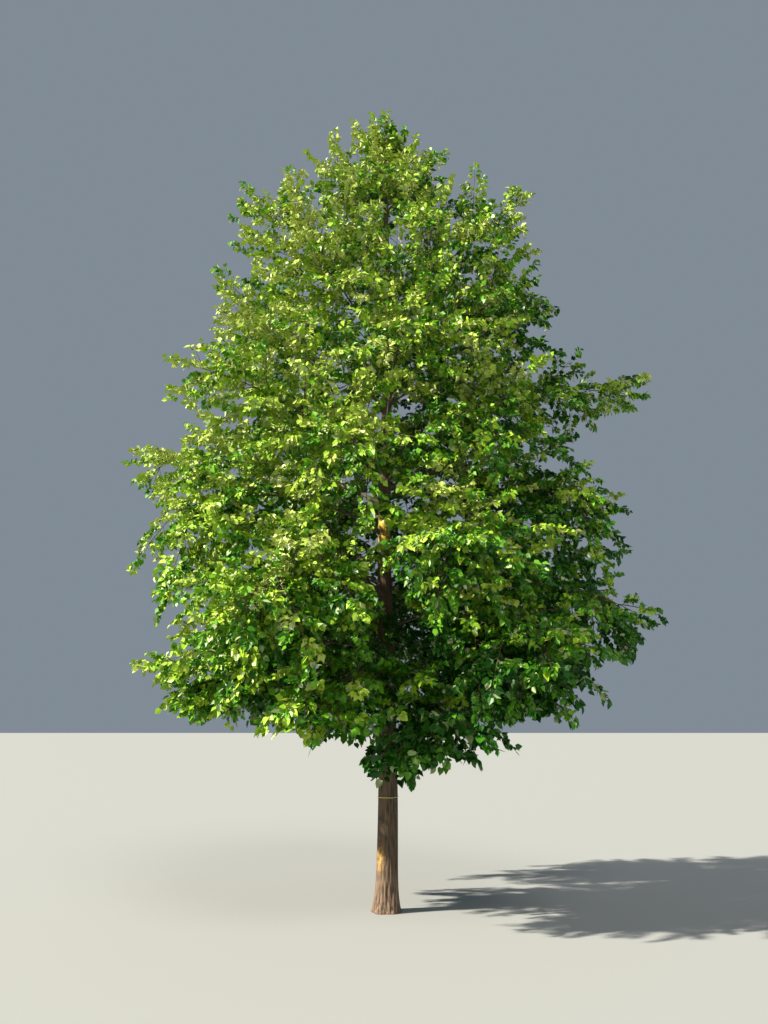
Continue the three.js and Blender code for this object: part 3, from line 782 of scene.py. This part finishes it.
# Leaves down both sides of every shoot, each at the end of its petiole.
def grow_leaves():
    above_foot = np.maximum(0, shoots.lines[:, 1, 2] - CROWN_FOOT)
    size = LEAF_LENGTH + LEAF_LONGER * np.exp(-above_foot / LEAF_FADE)
    spacing = LEAF_SPACING * size
    counts = np.floor((shoots.length - LEAF_BARE) / spacing).astype(int) + 1
    counts = np.maximum(LEAST_LEAVES, counts)
    rows = np.repeat(np.arange(len(counts)), counts)
    nth = np.arange(len(rows)) - np.repeat(np.cumsum(counts) - counts, counts)
    u = 1 - nth * (spacing / shoots.length)[rows]
    root, along = points_along(shoots.lines, rows, u)
    count = len(rows)
    side = np.where(nth % 2, 1.0, -1.0) * (nth > 0)
    across = unit(level_across(along) + scatter(LEAF_SIDE_JITTER, count, 3))
    across = turned(across, along, scatter(LEAF_TILT, count))
    fork = np.radians(side * (LEAF_FORK + scatter(LEAF_FORK_JITTER, count)))[:, None]
    stalk = along * np.cos(fork) + across * np.sin(fork)
    stalk[:, 2] += PETIOLE_LIFT + scatter(PETIOLE_LIFT_JITTER, count)
    stalk = unit(stalk)
    outward = unit(root * [1, 1, 0] + TINY)
    blade = stalk * BLADE_ALONG + outward * BLADE_OUT + scatter(BLADE_JITTER, count, 3)
    blade[:, 2] -= BLADE_DROOP + scatter(BLADE_DROOP_JITTER, count)
    blade = unit(blade)
    face = scatter(FACE_JITTER, count, 3) + outward * FACE_OUT
    face[:, 2] += 1
    right = unit(np.cross(blade, face))
    swell = np.sin(np.pi * np.clip(LEAF_SWELL_FROM + LEAF_SWELL_OVER * u, 0, 1))
    normal = np.cross(right, blade) * (CURL + scatter(CURL_JITTER, count))[:, None]
    length = size[rows] * (LEAF_SWELL_LEAST + LEAF_SWELL * swell) * (1 + scatter(LEAF_LENGTH_JITTER, count))
    petiole = PETIOLE_LENGTH * length * (1 + scatter(PETIOLE_LENGTH_JITTER, count))
    return SimpleNamespace(
        shoot=rows,
        nth=nth,
        root=root,
        base=root + stalk * petiole[:, None],
        blade=blade,
        right=right,
        normal=normal,
        length=length,
        count=count,
    )


leaves = grow_leaves()


# The pale bracts that hang from the upper shoots, each with its flower buds.
def grow_bracts():
    wanted = BRACTS_PER_SHOOT * np.clip((shoots.t - BRACTS_FROM) / (1 - BRACTS_FROM), 0, 1)
    counts = rng.poisson(wanted)
    rows = np.repeat(np.arange(len(counts)), counts)
    count = len(rows)
    root, along = points_along(shoots.lines, rows, rng.uniform(*BRACT_PLACES, count))
    hang = along * BRACT_ALONG + scatter(BRACT_JITTER, count, 3)
    hang[:, 2] -= BRACT_DROOP
    hang = unit(hang)
    right = unit(np.cross(hang, scatter(1, count, 3)))
    length = BRACT_LENGTH * rng.uniform(*BRACT_SCALES, count)
    ribs = hang * length[:, None]
    stalks = unit(hang - [0, 0, 1]) * length[:, None]
    return SimpleNamespace(
        root=root,
        hang=hang,
        right=right,
        normal=np.cross(right, hang),
        length=length,
        buds=root + ribs * BUD_STALK_PLACE + stalks * BUD_STALK_LENGTH,
        count=count,
    )


bracts = grow_bracts()


def add_mesh(name, vertices, faces, material, smooth=True):
    mesh = bpy.data.meshes.new(name)
    corners = faces.shape[1]
    mesh.vertices.add(len(vertices))
    mesh.vertices.foreach_set("co", np.asarray(vertices, np.float32).ravel())
    mesh.loops.add(faces.size)
    mesh.loops.foreach_set("vertex_index", np.asarray(faces, np.int32).ravel())
    mesh.polygons.add(len(faces))
    mesh.polygons.foreach_set("loop_start", np.arange(0, faces.size, corners, dtype=np.int32))
    mesh.polygons.foreach_set("use_smooth", np.full(len(faces), smooth))
    mesh.update(calc_edges=True)
    mesh.materials.append(material)
    piece = bpy.data.objects.new(name, mesh)
    bpy.context.collection.objects.link(piece)
    return piece


# Copies of one shape: its vertices in axes that differ for each copy, and its faces.
def copies(shape, faces, bases, axes, sizes):
    vertices = bases[:, None] + np.einsum("vk,nkj->nvj", shape, axes) * sizes[:, None, None]
    offsets = np.arange(len(bases))[:, None, None] * len(shape)
    return vertices.reshape(-1, 3), (faces[None] + offsets).reshape(-1, faces.shape[1])


# Several sets of vertices and faces as one.
def joined(parts):
    offset, vertices, faces = 0, [], []
    for some_vertices, some_faces in parts:
        vertices.append(some_vertices)
        faces.append(some_faces + offset)
        offset += len(some_vertices)
    return np.concatenate(vertices), np.concatenate(faces)


# Tubes along many lines of the same number of points, in triangles, each ending in a point.
def tubes(lines, radii, sides):
    count, points = lines.shape[:2]
    tangents = unit(np.gradient(lines, axis=1))
    slant = np.abs(unit(lines[:, -1] - lines[:, 0]))
    reference = np.eye(3)[np.argmin(slant, axis=1)][:, None]
    side = unit(np.cross(tangents, reference))
    other = np.cross(tangents, side)
    turn = np.arange(sides) * 2 * np.pi / sides
    ring = side[:, :, None] * np.cos(turn)[:, None] + other[:, :, None] * np.sin(turn)[:, None]
    around = lines[:, :, None] + ring * radii[:, :, None, None]
    tip = lines[:, -1] + tangents[:, -1] * radii[:, -1:]
    vertices = np.concatenate([around.reshape(count, -1, 3), tip[:, None]], axis=1)
    j = np.arange(sides)
    k = (j + 1) % sides
    faces = []
    for i in range(points - 1):
        a, b = i * sides, (i + 1) * sides
        faces.append(np.stack([a + j, a + k, b + k], axis=1))
        faces.append(np.stack([a + j, b + k, b + j], axis=1))
    last = (points - 1) * sides
    faces.append(np.stack([last + j, last + k, np.full(sides, points * sides)], axis=1))
    faces = np.concatenate(faces)
    offsets = np.arange(count)[:, None, None] * vertices.shape[1]
    return vertices.reshape(-1, 3), (faces[None] + offsets).reshape(-1, 3)


# Tubes whose radius goes evenly from one at the root to another at the tip.
def tapered_tubes(lines, root_radius, tip_radius, sides):
    radii = np.broadcast_to(np.linspace(root_radius, tip_radius, lines.shape[1]), lines.shape[:2])
    return tubes(lines, radii, sides)


# Thin flat slivers, each from a start so wide to each side to a point at its end.
def slivers(starts, ends, half):
    vertices = np.stack([starts - half, starts + half, ends], axis=1)
    return vertices.reshape(-1, 3), np.arange(3 * len(starts)).reshape(-1, 3)


# The corners and faces of a leaf that is folded along its midrib.
def leaf_shape(margin):
    points = len(margin)
    left = [(x, -y, z) for x, y, z in margin]
    ring = [*range(2, points + 2), 1]
    right_faces = [(0, a, b) for a, b in zip(ring, ring[1:])]
    left_faces = [tuple(i + points if i > 1 else i for i in (0, b, a)) for _, a, b in right_faces]
    return np.array([*MIDRIB, *margin, *left], float), np.array(right_faces + left_faces)


def bract_shape():
    left = [(x, -y, z) for x, y, z in BRACT_MARGIN[1:-1]]
    return np.array([*BRACT_MARGIN, *left]), np.array([(0, 1, 4), (4, 1, 2), (4, 2, 5), (5, 2, 3)])


def principled(name, color, roughness):
    material = bpy.data.materials.new(name)
    material.use_nodes = True
    shader = material.node_tree.nodes["Principled BSDF"]
    shader.inputs["Base Color"].default_value = (*color, 1)
    shader.inputs["Roughness"].default_value = roughness
    return material


def leaf_material(name, color):
    material = principled(name, color, LEAF_ROUGHNESS)
    material.node_tree.nodes["Principled BSDF"].inputs["IOR"].default_value = LEAF_IOR
    return material


# The tone of each leaf, by the light that reaches its shoot, and the luck of its spray.
def leaf_tones():
    tips = shoots.lines[:, -1]
    depth = depth_in_crown(tips)
    sunlit = np.cos(np.radians(azimuth_of(tips) - SUN_AZIMUTH)) * np.minimum(1, depth)
    height = np.maximum(0, (tips[:, 2] - CROWN_FOOT) / (TREE_HEIGHT - CROWN_FOOT)) ** HEIGHT_POWER
    above = np.clip(height_above_stem(tips, shoots.owner), -ABOVE_LIMIT, ABOVE_LIMIT)
    contrast = 1 + HIGHER_CONTRAST * height
    # Painted sunlight and shade: shoots far out, high, on the sunny side and above their stems get lighter
    # tones.
    score = DEPTH_WEIGHT * depth + HEIGHT_WEIGHT * height + SUN_WEIGHT * sunlit + ABOVE_WEIGHT * above
    score += contrast * scatter(SHOOT_LUCK, len(tips))
    score += contrast * scatter(TWIG_LUCK, shoots.bunch.max() + 1)[shoots.bunch]
    # Painted shade: darker towards the hem of the crown, less so on the sunny side.
    hem = np.clip((HEM_SHADE_TOP - tips[:, 2]) / HEM_SHADE_DEPTH, 0, 1)
    score -= HEM_SHADE * hem * (1 - HEM_SUN * sunlit)
    sprays = np.stack([leaves.shoot, leaves.nth // LEAVES_PER_SPRAY], axis=1)
    spray = np.unique(sprays, axis=0, return_inverse=True)[1].ravel()
    score = score[leaves.shoot] + contrast[leaves.shoot] * scatter(SPRAY_LUCK, spray.max() + 1)[spray]
    limits = np.quantile(score, np.cumsum([share for *_, share in TONES])[:-1])
    tones = np.searchsorted(limits, score)
    tones[rng.uniform(0, 1, leaves.count) < TURNED_SHARE] = len(TONES)
    return tones


# One piece for each tone, with the petioles and blades of its leaves.
def leaf_pieces():
    tones = leaf_tones()
    is_large = leaves.length > LARGE_LEAF
    axes = np.stack([leaves.blade, leaves.right, leaves.normal], axis=1)
    pieces = []
    for tone, (name, color, _) in enumerate((*TONES, TURNED)):
        chosen = tones == tone
        parts = [slivers(leaves.root[chosen], leaves.base[chosen], leaves.right[chosen] * PETIOLE_RADIUS)]
        for margin, kind in ((LARGE_MARGIN, chosen & is_large), (SMALL_MARGIN, chosen & ~is_large)):
            parts.append(copies(*leaf_shape(margin), leaves.base[kind], axes[kind], leaves.length[kind]))
        pieces.append(add_mesh(name, *joined(parts), leaf_material(name, color), smooth=False))
    return pieces


foliage_pieces = leaf_pieces()


# A node of a material, its input values or links by name, and its settings.
def node(tree, kind, inputs, **settings):
    made = tree.nodes.new("ShaderNode" + kind)
    for name, value in settings.items():
        setattr(made, name, value)
    for name, value in inputs.items():
        if isinstance(value, bpy.types.NodeSocket):
            tree.links.new(value, made.inputs[name])
        else:
            made.inputs[name].default_value = value
    return made


# Noise that is drawn out along the trunk by the stretch.
def noise(tree, place, scale, stretch=1, detail=3, roughness=0.5):
    mapping = node(tree, "Mapping", {"Vector": place, "Scale": (1, 1, 1 / stretch)})
    inputs = {"Vector": mapping.outputs[0], "Scale": scale, "Detail": detail, "Roughness": roughness}
    return node(tree, "TexNoise", inputs).outputs["Fac"]


def step_between(tree, value, low, high, start=0, end=1):
    inputs = {"Value": value, "From Min": low, "From Max": high, "To Min": start, "To Max": end}
    return node(tree, "MapRange", inputs, interpolation_type="SMOOTHSTEP").outputs["Result"]


def product(tree, a, b):
    return node(tree, "Math", {0: a, 1: b}, operation="MULTIPLY").outputs[0]


def blend(tree, share, a, b):
    mix = node(tree, "Mix", {0: share}, data_type="RGBA")
    for i, color in ((6, a), (7, b)):
        if isinstance(color, bpy.types.NodeSocket):
            tree.links.new(color, mix.inputs[i])
        else:
            mix.inputs[i].default_value = (*color, 1)
    return mix.outputs[2]


# 1 in the core of a patch, and 0 outside it.
def in_patch(tree, place, patch):
    away = node(tree, "VectorMath", {0: place, 1: patch.middle}, operation="SUBTRACT")
    scaled = node(tree, "VectorMath", {0: away.outputs[0], 1: patch.size}, operation="DIVIDE")
    length = node(tree, "VectorMath", {0: scaled.outputs[0]}, operation="LENGTH")
    return step_between(tree, length.outputs["Value"], low=1, high=PATCH_CORE)


# Bark of the trunk: furrowed at its foot and lighter there, partly its own paler bark and partly painted
# sunlight where the sun reaches under the crown; greyer and smoother above, and browner in the crown.
def trunk_bark():
    material = principled("trunk_bark", GREY_BARK[1], roughness=0.88)
    tree = material.node_tree
    shader = tree.nodes["Principled BSDF"]
    place = node(tree, "TexCoord", {}).outputs["Object"]
    height = node(tree, "SeparateXYZ", {0: place}).outputs["Z"]
    streaks = noise(tree, place, scale=85, stretch=14, detail=4, roughness=0.55)
    stains = noise(tree, place, scale=7, stretch=1.8, detail=5, roughness=0.6)
    grain = noise(tree, place, scale=260, stretch=2, detail=4, roughness=0.6)
    specks = noise(tree, place, scale=30, stretch=1.3, detail=6, roughness=0.7)
    age = step_between(tree, height, low=0.1, high=4.5, start=1, end=0.3)
    furrows = product(tree, step_between(tree, streaks, low=0.55, high=0.36), age)
    in_crown = step_between(tree, height, low=1.0, high=2.2)
    # Painted sunlight: the foot is lighter in pale patches, fading out by the height where the crown's shadow
    # begins.
    foot_sunlight = step_between(tree, height, low=0.12, high=0.55, start=1, end=0.12)
    pale_patches_and_sunlight = product(tree, step_between(tree, stains, low=0.32, high=0.6), foot_sunlight)
    color = blend(tree, in_crown, blend(tree, grain, *GREY_BARK), blend(tree, grain, *BROWN_BARK))
    color = blend(tree, pale_patches_and_sunlight, color, blend(tree, grain, *SUNLIT_FOOT_BARK))
    # Painted shade in the furrows, over the fissures' own darker bark.
    color = blend(tree, furrows, color, FURROW_COLOR)
    crusts = step_between(tree, specks, low=0.36, high=0.6)
    # Lichen patches, the high one's colour lightened as painted sunlight.
    for lichen in (LOW_LICHEN, SUNLIT_HIGH_LICHEN):
        color = blend(tree, product(tree, in_patch(tree, place, lichen), crusts), color, lichen.color)
    for wound in (SCAR, HEALED):
        color = blend(tree, in_patch(tree, place, wound), color, wound.color)
    relief = node(tree, "Math", {0: furrows, 1: -FURROW_SINK, 2: grain}, operation="MULTIPLY_ADD").outputs[0]
    bump = node(tree, "Bump", {"Strength": 0.7, "Distance": 0.005, "Height": relief})
    tree.links.new(color, shader.inputs["Base Color"])
    tree.links.new(bump.outputs[0], shader.inputs["Normal"])
    return material


# Smoother bark, as on boughs, twigs and shoots: two colours that change along it, and a light relief.
def young_bark(name, colors, scale, roughness):
    material = principled(name, colors[1], roughness)
    tree = material.node_tree
    shader = tree.nodes["Principled BSDF"]
    place = node(tree, "TexCoord", {}).outputs["Object"]
    streaks = noise(tree, place, scale, detail=4, roughness=0.6)
    color = blend(tree, step_between(tree, streaks, low=0.35, high=0.65), *colors)
    bump = node(tree, "Bump", {"Strength": 0.5, "Distance": 0.002, "Height": streaks})
    tree.links.new(color, shader.inputs["Base Color"])
    tree.links.new(bump.outputs[0], shader.inputs["Normal"])
    return material


def bough_piece():
    lines = np.stack([point_on(owner.line, line_steps) for owner in limbs])
    radii = np.stack([owner.radius_at(line_steps) for owner in limbs])
    bark = young_bark("bough_bark", BOUGH_BARK, scale=45, roughness=0.8)
    return add_mesh("bough_bark", *tubes(lines, radii, BOUGH_SIDES), bark)


def twigs_piece():
    lines = np.stack([twig.line for twig in twigs])
    bark = young_bark("twig_bark", TWIG_BARK, scale=120, roughness=0.75)
    return add_mesh("twigs", *tapered_tubes(lines, TWIG_ROOT_RADIUS, TWIG_TIP_RADIUS, TWIG_SIDES), bark)


def shoots_piece():
    tapered = tapered_tubes(shoots.lines, SHOOT_ROOT_RADIUS, SHOOT_TIP_RADIUS, SHOOT_SIDES)
    bark = young_bark("shoot_bark", SHOOT_BARK, scale=20, roughness=0.6)
    return add_mesh("shoots", *tapered, bark)


def bracts_piece():
    axes = np.stack([bracts.hang, bracts.right, bracts.normal], axis=1)
    blades = copies(*bract_shape(), bracts.root, axes, bracts.length)
    return add_mesh("bracts", *blades, leaf_material("bracts", BRACT_COLOR), smooth=False)


def buds_piece():
    rows = np.repeat(np.arange(bracts.count), BUDS)
    count = len(rows)
    places = bracts.buds[rows] + scatter(BUD_SPREAD, count, 3)
    axes = np.broadcast_to(np.eye(3), (count, 3, 3))
    sizes = BUD_SIZE * rng.uniform(*BUD_SCALES, count)
    buds = copies(np.array(BUD), np.array(BUD_FACES), places, axes, sizes)
    stalks = slivers(bracts.buds, bracts.root, bracts.right * PETIOLE_RADIUS)
    skin = young_bark("flower_buds", BUD_SKIN, scale=90, roughness=0.6)
    return add_mesh("flower_buds", *joined([buds, stalks]), skin)


boughs = bough_piece()
twig_piece = twigs_piece()
shoot_piece = shoots_piece()
bract_piece = bracts_piece()
bud_piece = buds_piece()


# How far the bark lies in from the trunk's outline: furrows that run up it, deepest at its foot.
def bark_relief(turn, height):
    swirl = sum(share * np.sin(rise * height + around * turn) for rise, around, share in SWIRL)
    ridges = sum(
        share * np.cos(around * turn + moved * swirl + rise * height)
        for around, moved, rise, share in RIDGES
    )
    return RELIEF_DEPTH * np.exp(-height / RELIEF_FADE) * np.clip(RIDGE_LEVEL - ridges, 0, RIDGE_LIMIT)


def trunk_mesh(sides, steps):
    height = TRUNK_TOP * np.linspace(0, 1, steps + 1) ** TRUNK_STEP_POWER
    turn = np.arange(sides) * 2 * np.pi / sides
    lobe = np.cos(FLARE_LOBES * (turn - math.radians(FLARE_LOBE_TURN)))
    flare = FLARE_RADIUS * FLARE_LOBE_SHARE * np.exp(-height / FLARE_HEIGHT)[:, None] * lobe
    radius = trunk_radius(height)[:, None] + flare - bark_relief(turn, height[:, None])
    centre = trunk_centre(height)
    out = np.stack([np.cos(turn), np.sin(turn), np.zeros(sides)], axis=-1)
    vertices = (centre[:, None] + radius[:, :, None] * out).reshape(-1, 3)
    vertices = np.concatenate([vertices, centre[:1], centre[-1:]])
    j = np.arange(sides)
    k = (j + 1) % sides
    a = np.arange(steps)[:, None] * sides
    lower = np.stack([a + j, a + k, a + k + sides], axis=-1).reshape(-1, 3)
    upper = np.stack([a + j, a + k + sides, a + j + sides], axis=-1).reshape(-1, 3)
    foot = np.stack([k, j, np.full(sides, len(vertices) - 2)], axis=-1)
    top = steps * sides + np.stack([j, k, np.full(sides, sides + 1)], axis=-1)
    return vertices, np.concatenate([lower, upper, foot, top])


trunk = add_mesh("trunk_bark", *trunk_mesh(TRUNK_SIDES, TRUNK_STEPS), trunk_bark())


# A closed ring of twine that lies on the bark.
def ring_mesh(sides, steps):
    turn = np.arange(steps) * 2 * np.pi / steps
    height = MARK_HEIGHT + MARK_TILT * np.cos(turn - 1) + MARK_WAVE * np.cos(3 * turn)
    out = np.stack([np.cos(turn), np.sin(turn), np.zeros(steps)], axis=-1)
    middle = trunk_centre(height) + out * (trunk_radius(height) + MARK_RADIUS * MARK_SEAT)[:, None]
    around = np.arange(sides) * 2 * np.pi / sides
    ring = out[:, None] * np.cos(around)[:, None] + np.array([0, 0, 1]) * np.sin(around)[:, None]
    vertices = middle[:, None] + ring * MARK_RADIUS
    i, j = np.meshgrid(np.arange(steps), np.arange(sides), indexing="ij")
    next_i, next_j = (i + 1) % steps, (j + 1) % sides
    corners = [i * sides + j, next_i * sides + j, next_i * sides + next_j, i * sides + next_j]
    return vertices.reshape(-1, 3), np.stack(corners, axis=-1).reshape(-1, 4)


twine = young_bark("twine", TWINE, scale=300, roughness=0.5)
mark = add_mesh("girth_mark", *ring_mesh(MARK_SIDES, MARK_STEPS), twine)

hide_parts("trunk")
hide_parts(*(f"bough_{k + 1:02d}" for k in range(LIMBS - LIMBS_WITHOUT_BOUGH)))
foliage_nodes = [f"foliage_{k + 1:02d}" for k in range(LIMBS)]
foliage_nodes += ["foliage_leader", "foliage_low_left", "foliage_low_right", "foliage_sprouts"]
for piece in (trunk, mark, boughs, twig_piece):
    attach(piece, "root")
for piece in (shoot_piece, bract_piece, bud_piece, *foliage_pieces):
    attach(piece, "root")
for piece in (twig_piece, shoot_piece, bract_piece, bud_piece, *foliage_pieces):
    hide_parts(*foliage_nodes)

camera = bpy.data.objects.new("camera", bpy.data.cameras.new("camera"))
camera.location = CAMERA_PLACE
camera.rotation_euler = (math.radians(90 + CAMERA_PITCH), 0, 0)
camera.data.sensor_fit = "AUTO"
camera.data.sensor_width = SENSOR_WIDTH
camera.data.lens = CAMERA_LENS
camera.data.clip_end = VIEW_DEPTH
bpy.context.collection.objects.link(camera)
bpy.context.scene.camera = camera

square = np.array([(-1, -1, 0), (1, -1, 0), (1, 1, 0), (-1, 1, 0)])
corners = square * FLOOR_HALF_WIDTH - [0, 0, FLOOR_DEPTH]
floor = add_mesh("floor", corners, np.array([(0, 1, 2, 3)]), principled("floor", FLOOR_COLOR, roughness=0.9))

world = bpy.data.worlds.new("studio")
world.use_nodes = True
world.node_tree.nodes["Background"].inputs["Color"].default_value = (*SKY_COLOR, 1)
world.node_tree.nodes["Background"].inputs["Strength"].default_value = SKY_STRENGTH
bpy.context.scene.world = world


def sun(name, azimuth, rise, strength, spread, color):
    light = bpy.data.objects.new(name, bpy.data.lights.new(name, "SUN"))
    light.data.energy = strength
    light.data.angle = math.radians(spread)
    light.data.color = color
    light.rotation_euler = (math.radians(90 - rise), 0, math.radians(azimuth + 90))
    bpy.context.collection.objects.link(light)


sun("key", SUN_AZIMUTH, SUN_RISE, strength=9.7, spread=1.2, color=(1, 0.94, 0.80))
sun("fill", azimuth=285, rise=50, strength=1.1, spread=25, color=(1, 0.97, 0.9))
bpy.context.scene.view_settings.view_transform = "Standard"
